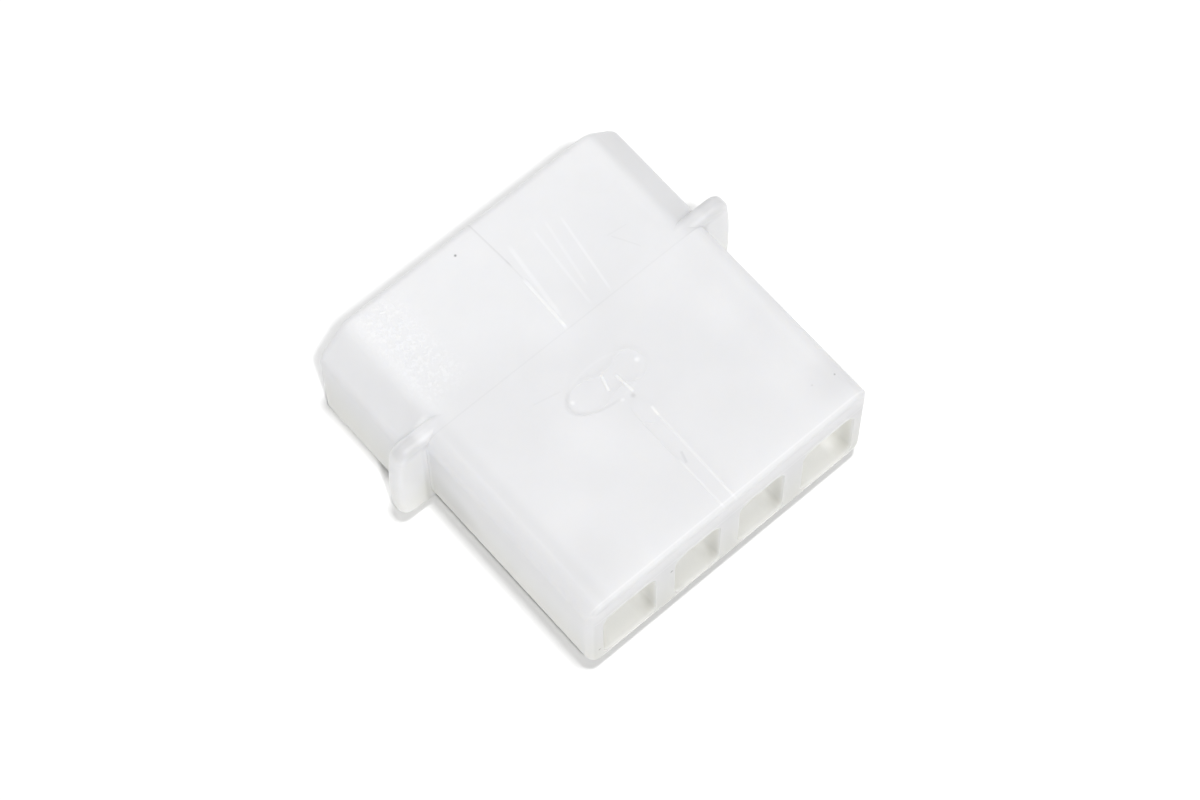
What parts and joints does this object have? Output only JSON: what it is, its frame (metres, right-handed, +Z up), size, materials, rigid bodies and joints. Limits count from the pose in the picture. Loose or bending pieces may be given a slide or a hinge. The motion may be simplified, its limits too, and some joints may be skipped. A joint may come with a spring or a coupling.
{
  "type": "wire connector housing",
  "caption": "Empty one-piece nylon housing of an in-line wire connector: chamfered hollow shroud, eared flange and a body with open contact cavities.",
  "frame": {"origin": "middle of the bounding box, at its lowest face", "axes": "+X along the row of contacts, +Y out of the shroud's mouth, +Z up, to the side with the chamfered corners and the gate mark"},
  "size_m": [0.0268, 0.0242, 0.0095],
  "materials": {
    "natural_nylon": "satin, milky and slightly translucent"
  },
  "bodies": {
    "root": {"connector_housing": "natural_nylon"}
  },
  "joints": []
}
